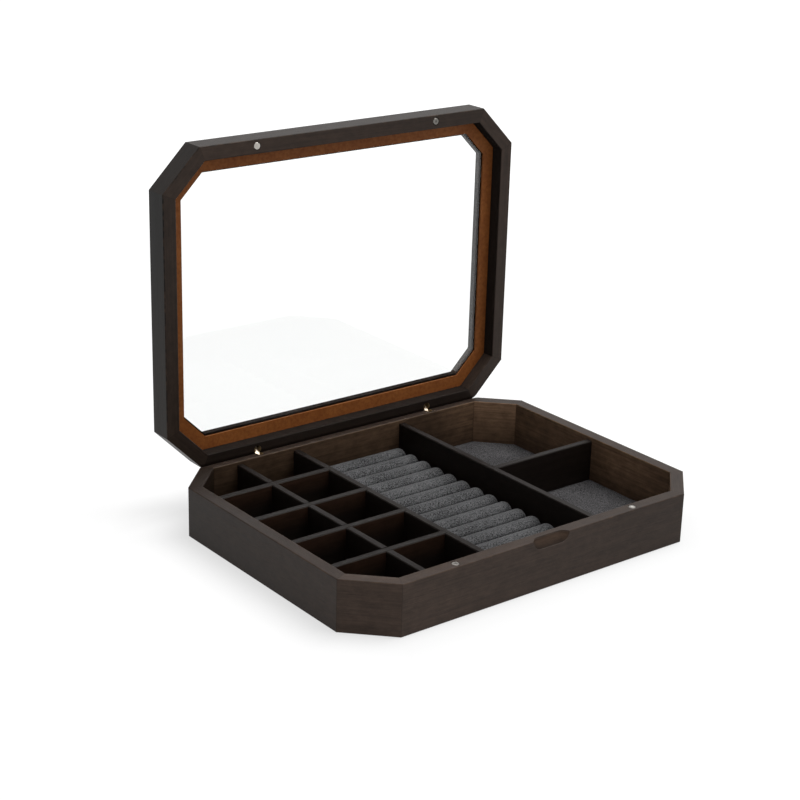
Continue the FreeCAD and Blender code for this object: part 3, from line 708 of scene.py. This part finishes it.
def rollMesh(spec, size):
    places = [size.x / 2 - spec["endRound"] * (1 - math.sin(math.pi / 2 * step / spec["endRings"]))
              for step in range(spec["endRings"])]
    straight = size.x / 2 - spec["endRound"]
    middle = [straight * (2 * step / spec["along"] - 1) for step in range(1, spec["along"])]
    stations = [-x for x in reversed(places)] + middle + places
    mesh = bmesh.new()
    loops = [[mesh.verts.new(point) for point in rollLoop(x, spec, size)] for x in stations]
    for first, second in zip(loops, loops[1:]):
        for one, two, three, four in zip(first, first[1:] + first[:1], second[1:] + second[:1], second):
            mesh.faces.new((one, two, three, four))
    for loop, x in ((loops[0], -size.x / 2), (loops[-1], size.x / 2)):
        tip = mesh.verts.new((x, 0, size.z * spec["noseHeight"]))
        for one, two in zip(loop, loop[1:] + loop[:1]):
            mesh.faces.new((one, two, tip))
    bmesh.ops.recalc_face_normals(mesh, faces=mesh.faces[:])
    data = bpy.data.meshes.new("paddedRoll")
    mesh.to_mesh(data)
    mesh.free()
    return data


def swellRoll(data, spec):  # pressure under the cover, at a larger scale and capped
    scale = spec["simScale"]
    for vert, normal in zip(data.vertices, [Vector(v.normal) for v in data.vertices]):
        vert.co = (vert.co - normal * spec["startShrink"]) * scale
    start = [vert.co.copy() for vert in data.vertices]
    roll = bpy.data.objects.new("paddedRoll", data)
    bpy.context.collection.objects.link(roll)
    foot = roll.vertex_groups.new(name="foot")
    foot.add([vert.index for vert in data.vertices if vert.co.z < spec["footHold"] * scale], 1.0, "REPLACE")
    cloth = roll.modifiers.new("cover", "CLOTH")
    cloth.settings.use_pressure = True
    cloth.settings.uniform_pressure_force = spec["pressure"]
    cloth.settings.effector_weights.gravity = 0
    cloth.settings.vertex_group_mass = "foot"
    cloth.point_cache.frame_end = spec["frames"]
    scene = bpy.context.scene
    for step in range(1, spec["frames"] + 1):
        scene.frame_set(step)
    ready = roll.evaluated_get(bpy.context.evaluated_depsgraph_get())
    cap = spec["swellCap"] * scale
    moved = []
    for vert, origin in zip(ready.data.vertices, start):
        move = vert.co - origin
        if move.length > cap:
            move *= cap / move.length
        moved.append((origin + move) / scale)
    roll.modifiers.remove(cloth)
    bpy.data.objects.remove(roll)
    for vert, spot in zip(data.vertices, moved):
        vert.co = spot
    scene.frame_set(1)


def rollRowTree(finish, spec):
    tree = bpy.data.node_groups.new("ringRollRow", "GeometryNodeTree")
    tree.interface.new_socket(name="Roll", in_out="INPUT", socket_type="NodeSocketGeometry")
    wanted = [("Count", "Int"), ("Pitch", "Float"), ("First", "Vector"), ("Unevenness", "Float"),
              ("Seed", "Int")]
    for label, kind in wanted:
        tree.interface.new_socket(name=label, in_out="INPUT", socket_type="NodeSocket" + kind)
    tree.interface.new_socket(name="Row", in_out="OUTPUT", socket_type="NodeSocketGeometry")
    given = place(tree, "NodeGroupInput").outputs
    out = place(tree, "NodeGroupOutput").inputs
    step = place(tree, "ShaderNodeCombineXYZ")
    plug(tree, given["Pitch"], step.inputs["Y"])
    row = place(tree, "GeometryNodeMeshLine")
    plug(tree, given["Count"], row.inputs["Count"])
    plug(tree, given["First"], row.inputs["Start Location"])
    plug(tree, step.outputs[0], row.inputs["Offset"])
    halfTurn = place(tree, "FunctionNodeRandomValue", data_type="INT")  # some rolls are turned end for end
    halfTurn.inputs["Min"].default_value, halfTurn.inputs["Max"].default_value = 0, 1
    plug(tree, given["Seed"], halfTurn.inputs["Seed"])
    facing = place(tree, "ShaderNodeCombineXYZ")
    plug(tree, calc(tree, "MULTIPLY", halfTurn.outputs[2], math.pi), facing.inputs["Z"])
    setOut = place(tree, "GeometryNodeInstanceOnPoints")
    plug(tree, row.outputs[0], setOut.inputs["Points"])
    plug(tree, given["Roll"], setOut.inputs["Instance"])
    plug(tree, facing.outputs[0], setOut.inputs["Rotation"])
    real = place(tree, "GeometryNodeRealizeInstances")
    plug(tree, setOut.outputs[0], real.inputs[0])
    lumps = place(tree, "ShaderNodeTexNoise")
    lumps.inputs["Scale"].default_value = spec["lumpScale"]
    where = place(tree, "GeometryNodeInputPosition").outputs[0]
    plug(tree, where, lumps.inputs["Vector"])
    normal = place(tree, "GeometryNodeInputNormal").outputs[0]
    push = place(tree, "ShaderNodeVectorMath", operation="SCALE")
    plug(tree, normal, push.inputs[0])
    lump = calc(tree, "SUBTRACT", lumps.outputs[0], spec["lumpMiddle"])
    plug(tree, calc(tree, "MULTIPLY", lump, given["Unevenness"]), push.inputs["Scale"])
    pushed = place(tree, "GeometryNodeSetPosition")
    plug(tree, real.outputs[0], pushed.inputs["Geometry"])
    plug(tree, push.outputs[0], pushed.inputs["Offset"])
    smooth = place(tree, "GeometryNodeSetShadeSmooth")
    plug(tree, pushed.outputs[0], smooth.inputs[0])
    covered = place(tree, "GeometryNodeSetMaterial")
    covered.inputs["Material"].default_value = finish
    plug(tree, smooth.outputs[0], covered.inputs["Geometry"])
    plug(tree, covered.outputs[0], out["Row"])
    return tree


def addRolls(spec):
    rollNames = sorted(name for name in nodes if name.startswith("ring_roll_"))
    rollNames.remove("ring_roll_board")
    low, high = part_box(rollNames[0])
    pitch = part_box(rollNames[1])[0].y - low.y
    data = rollMesh(spec, high - low)
    swellRoll(data, spec)
    finish = clothFinish("greyVelour", spec, ((low.y + high.y - pitch) / 2, pitch))
    source = bpy.data.objects.new("rollSource", data)
    bpy.context.collection.objects.link(source)
    tree = rollRowTree(finish, spec)
    row = source.modifiers.new("row", "NODES")
    row.node_group = tree
    first = ((low.x + high.x) / 2, (low.y + high.y) / 2, low.z)
    sizes = dict(Count=len(rollNames), Pitch=pitch, First=first, Unevenness=spec["unevenness"],
                 Seed=spec["seed"])
    for item in tree.interface.items_tree:
        if item.in_out == "INPUT" and item.name in sizes:
            row[item.identifier] = sizes[item.name]
    bpy.context.view_layer.update()
    ready = source.evaluated_get(bpy.context.evaluated_depsgraph_get())
    made = bpy.data.meshes.new_from_object(ready)
    bpy.data.objects.remove(source)
    rolls = bpy.data.objects.new("ring_rolls", made)
    bpy.context.collection.objects.link(rolls)
    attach(rolls, "base")
    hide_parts(*rollNames)
    print("ring rolls set out:", len(rollNames), "faces", len(made.polygons))


addRolls(ringRoll)


# leather strip round the pane

stripLeather = dict(
    dark=(0.092, 0.026, 0.0058, 1),
    mid=(0.165, 0.051, 0.011, 1),
    light=(0.205, 0.069, 0.016, 1),
    mottleScale=55.0,
    mottleReach=(0.35, 0.68),
    grainScale=420.0,
    grainReach=(0.4, 0.75, 0.0, 0.6),
    grainRough=(0.3, 0.7, 0.5, 0.68),
    pebbleScale=900.0,
    pebbleDepth=0.00012,
    lowFade=(0.012, 0.06, 1.15, 1.0),
    specular=0.15,
)


def leatherFinish(name, spec):
    finish, tree, shader = newFinish(name, Specular_IOR_Level=spec["specular"])
    where = ownPlace(tree)
    mottle = cloud(tree, where, spec["mottleScale"], detail=4.0, rough=0.6)
    grain = cloud(tree, where, spec["grainScale"], detail=3.0, rough=0.6)
    pebbles = place(tree, "ShaderNodeTexVoronoi")
    plug(tree, where, pebbles.inputs["Vector"])
    plug(tree, spec["pebbleScale"], pebbles.inputs["Scale"])
    shade = mixColours(tree, ramp(tree, mottle, *spec["mottleReach"]), spec["mid"], spec["light"])
    shade = mixColours(tree, ramp(tree, grain, *spec["grainReach"]), shade, spec["dark"])
    parts = place(tree, "ShaderNodeSeparateXYZ")
    plug(tree, where, parts.inputs[0])
    # painted light: the strip is made lighter along its bottom side
    low, high, *tones = spec["lowFade"]
    fade = ramp(tree, parts.outputs["Z"], stripFoot + low, stripFoot + high, *tones)
    plug(tree, mixColours(tree, 1.0, shade, fade, "MULTIPLY"), shader.inputs["Base Color"])
    plug(tree, ramp(tree, grain, *spec["grainRough"]), shader.inputs["Roughness"])
    relief(tree, shader, calc(tree, "ADD", pebbles.outputs["Distance"], grain), spec["pebbleDepth"])
    return finish


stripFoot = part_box("glass_strip")[0].z
dress("glass_strip", leatherFinish("brownStrip", stripLeather))


# metal: nickel magnets, brass barrels, links and pins

metalSpec = dict(
    hazeScale=420.0,
    hazeReach=(0.4, 0.75, 0.0, 0.7),
    hazeRough=(0.35, 0.7, -0.04, 0.12),
    scratchScale=(350, 5200, 5200),
)


def metalGroup(spec):
    group, given, out = newGroup(
        "handledMetal",
        [("Vector", "Vector", (0, 0, 0)), ("Clean", "Color", (0.6, 0.6, 0.6, 1)),
         ("Dulled", "Color", (0.4, 0.4, 0.4, 1)), ("Polish", "Float", 0.2)],
        [("Color", "Color"), ("Roughness", "Float"), ("Height", "Float")],
    )
    where = given["Vector"]
    haze = cloud(group, where, spec["hazeScale"], detail=4.0, rough=0.6)
    scratches = cloud(group, stretch(group, where, spec["scratchScale"]), 1.0, detail=3.0, rough=0.6)
    dulling = ramp(group, haze, *spec["hazeReach"])
    plug(group, mixColours(group, dulling, given["Clean"], given["Dulled"]), out["Color"])
    plug(group, calc(group, "ADD", given["Polish"], ramp(group, haze, *spec["hazeRough"])), out["Roughness"])
    plug(group, scratches, out["Height"])
    return group


handledMetal = metalGroup(metalSpec)
metals = {
    "nickel": dict(clean=(0.97, 0.92, 0.85, 1), dulled=(0.78, 0.73, 0.66, 1), polish=0.22,
                   scratch=0.000012),
    "paleBrass": dict(clean=(0.5, 0.42, 0.33, 1), dulled=(0.28, 0.22, 0.15, 1), polish=0.3,
                      scratch=0.00002),
    "oldBrass": dict(clean=(0.22, 0.16, 0.085, 1), dulled=(0.1, 0.07, 0.04, 1), polish=0.4,
                     scratch=0.00002),
}

# painted reflections: tone of each magnet's rim and middle, left one and right one, and how far the middle
# reaches
magnetBand = 0.001  # half the width of the change from left to right
magnetReflections = {
    "base_magnets": dict(rims=(0.34, 0.3), middles=(0.1, 0.95), reach=(0.75, 0.45)),
    "lid_magnets": dict(rims=(0.42, 0.16), middles=(0.42, 0.04), reach=(0.75, 0.45)),
}


def metalFinish(kind, name="", worn=""):  # the last argument names the magnets' node that gets painted reflections
    spec = metals[kind]
    finish, tree, shader = newFinish(name or kind, Metallic=1.0)
    look = useGroup(tree, handledMetal, Vector=ownPlace(tree), Clean=spec["clean"], Dulled=spec["dulled"],
                    Polish=spec["polish"])
    shade = look["Color"]
    if worn:
        shade = mixColours(tree, 1.0, shade, paintedReflectionTone(tree, worn), "MULTIPLY")
    plug(tree, shade, shader.inputs["Base Color"])
    plug(tree, look["Roughness"], shader.inputs["Roughness"])
    relief(tree, shader, look["Height"], spec["scratch"])
    return finish


def paintedReflectionTone(tree, node):  # painted reflections on the rim and middle of the left and the right magnet
    spec = magnetReflections[node]
    low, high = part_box(node)
    radius = max(high.y - low.y, high.z - low.z) / 2
    far, near = (radius * share for share in spec["reach"])
    parts = place(tree, "ShaderNodeSeparateXYZ")
    plug(tree, ownPlace(tree), parts.inputs[0])
    tone = ramp(tree, parts.outputs["X"], -magnetBand, magnetBand, *spec["rims"])
    for side, rim, middle in zip((-1, 1), spec["rims"], spec["middles"]):
        spot = (low + high) / 2
        spot.x = side * (high.x - radius)
        away = place(tree, "ShaderNodeVectorMath", operation="DISTANCE")
        plug(tree, ownPlace(tree), away.inputs[0])
        away.inputs[1].default_value = spot
        tone = calc(tree, "ADD", tone, ramp(tree, away.outputs["Value"], far, near, 0.0, middle - rim))
    return tone


linkBrass, barrelBrass = metalFinish("paleBrass"), metalFinish("oldBrass")
dress("base_magnets", metalFinish("nickel", "baseNickel", "base_magnets"))
dress("lid_magnets", metalFinish("nickel", "lidNickel", "lid_magnets"))
for name in nodes:
    if name.endswith("hinge_links"):
        dress(name, linkBrass)
    elif name.endswith("hinge_barrels"):
        dress(name, barrelBrass)
print("strip, magnets and hinges finished")


# clear pane that lets lamps through

paneGlass = dict(
    colour=(0.975, 0.985, 0.98, 1),
    ior=1.5,
    smudgeScale=14.0,
    smudgeRough=(0.5, 0.8, 0.0, 0.03),
)


def glassFinish(name, spec):
    finish, tree, shader = newFinish(name, Base_Color=spec["colour"], IOR=spec["ior"],
                                     Transmission_Weight=1.0)
    smudge = cloud(tree, ownPlace(tree), spec["smudgeScale"], detail=4.0, rough=0.6)
    plug(tree, ramp(tree, smudge, *spec["smudgeRough"]), shader.inputs["Roughness"])
    through = place(tree, "ShaderNodeBsdfTransparent")
    pick = place(tree, "ShaderNodeMixShader")
    plug(tree, place(tree, "ShaderNodeLightPath").outputs["Is Shadow Ray"], pick.inputs[0])
    plug(tree, shader.outputs[0], pick.inputs[1])
    plug(tree, through.outputs[0], pick.inputs[2])
    output = next(node for node in tree.nodes if node.type == "OUTPUT_MATERIAL")
    plug(tree, pick.outputs[0], output.inputs["Surface"])
    return finish


dress("glass_pane", glassFinish("clearPane", paneGlass))
print("pane glazed")


# white studio: floor that keeps the shadow, white surroundings and soft lamps

studio = dict(
    floorHalf=6.0,
    floorDrop=0.0003,
    floorShade=0.245,
    floorGlow=(0.80, 0.665),
    glowReach=(-0.06, 0.0),
    farGlow=(1.0, 0.5),
    farReach=(-0.8, -0.25),
    bounceShade=0.8,
    ambient=0.36,
    lamps=[
        dict(name="topSoftbox", spot=(0.5, -0.25, 1.5), aim=(0.0, 0.0, 0.0), size=1.2, watts=26.0),
        dict(name="frontFill", spot=(-0.5, -1.8, 0.8), aim=(0.0, 0.0, 0.08), size=1.6, watts=4.0),
    ],
)


def seenRays(tree):  # rays that see the backdrop as it is
    path = place(tree, "ShaderNodeLightPath").outputs
    seen = calc(tree, "MAXIMUM", path["Is Camera Ray"], path["Is Transmission Ray"])
    return calc(tree, "MAXIMUM", seen, path["Is Glossy Ray"])


def addFloor(spec):
    half = spec["floorHalf"]
    data = bpy.data.meshes.new("floor")
    corners = [(x * half, y * half, -spec["floorDrop"]) for x, y in ((-1, -1), (1, -1), (1, 1), (-1, 1))]
    data.from_pydata(corners, [], [(0, 1, 2, 3)])
    finish = bpy.data.materials.new("paleFloor")
    finish.use_nodes = True
    tree = finish.node_tree
    tree.nodes.clear()
    bounce = place(tree, "ShaderNodeBsdfDiffuse")
    bounce.inputs["Color"].default_value = (spec["bounceShade"],) * 3 + (1,)
    shaded = place(tree, "ShaderNodeBsdfDiffuse")
    shaded.inputs["Color"].default_value = (spec["floorShade"],) * 3 + (1,)
    glow = place(tree, "ShaderNodeEmission")
    parts = place(tree, "ShaderNodeSeparateXYZ")
    plug(tree, ownPlace(tree), parts.inputs[0])
    under = useGroup(tree, eightSided, Along=parts.outputs["X"], Across=parts.outputs["Y"], **outlineSizes)
    near = ramp(tree, under["Depth"], *spec["glowReach"], *spec["floorGlow"])
    far = ramp(tree, under["Depth"], *spec["farReach"], *spec["farGlow"])
    plug(tree, calc(tree, "MAXIMUM", near, far), glow.inputs["Color"])
    seen = place(tree, "ShaderNodeAddShader")
    plug(tree, shaded.outputs[0], seen.inputs[0])
    plug(tree, glow.outputs[0], seen.inputs[1])
    pick = place(tree, "ShaderNodeMixShader")
    plug(tree, seenRays(tree), pick.inputs[0])
    plug(tree, bounce.outputs[0], pick.inputs[1])
    plug(tree, seen.outputs[0], pick.inputs[2])
    plug(tree, pick.outputs[0], place(tree, "ShaderNodeOutputMaterial").inputs["Surface"])
    data.materials.append(finish)
    floor = bpy.data.objects.new("floor", data)
    bpy.context.collection.objects.link(floor)


def addSurroundings(spec):
    world = bpy.data.worlds.new("whiteRoom")
    world.use_nodes = True
    tree = world.node_tree
    tree.nodes.clear()
    soft = place(tree, "ShaderNodeBackground")
    soft.inputs["Color"].default_value = (1, 1, 1, 1)
    soft.inputs["Strength"].default_value = spec["ambient"]
    white = place(tree, "ShaderNodeBackground")
    white.inputs["Color"].default_value = (1, 1, 1, 1)
    pick = place(tree, "ShaderNodeMixShader")
    plug(tree, seenRays(tree), pick.inputs[0])
    plug(tree, soft.outputs[0], pick.inputs[1])
    plug(tree, white.outputs[0], pick.inputs[2])
    plug(tree, pick.outputs[0], place(tree, "ShaderNodeOutputWorld").inputs["Surface"])
    bpy.context.scene.world = world


def addLamp(lamp):
    data = bpy.data.lights.new(lamp["name"], "AREA")
    data.shape = "DISK"
    data.size = lamp["size"]
    data.energy = lamp["watts"]
    light = bpy.data.objects.new(lamp["name"], data)
    bpy.context.collection.objects.link(light)
    away = Vector(lamp["spot"]) - Vector(lamp["aim"])
    light.location = lamp["spot"]
    light.rotation_mode = "QUATERNION"
    light.rotation_quaternion = away.to_track_quat("Z", "Y")


addFloor(studio)
addSurroundings(studio)
for lamp in studio["lamps"]:
    addLamp(lamp)
bpy.context.scene.view_settings.view_transform = "Standard"
print("studio lit")
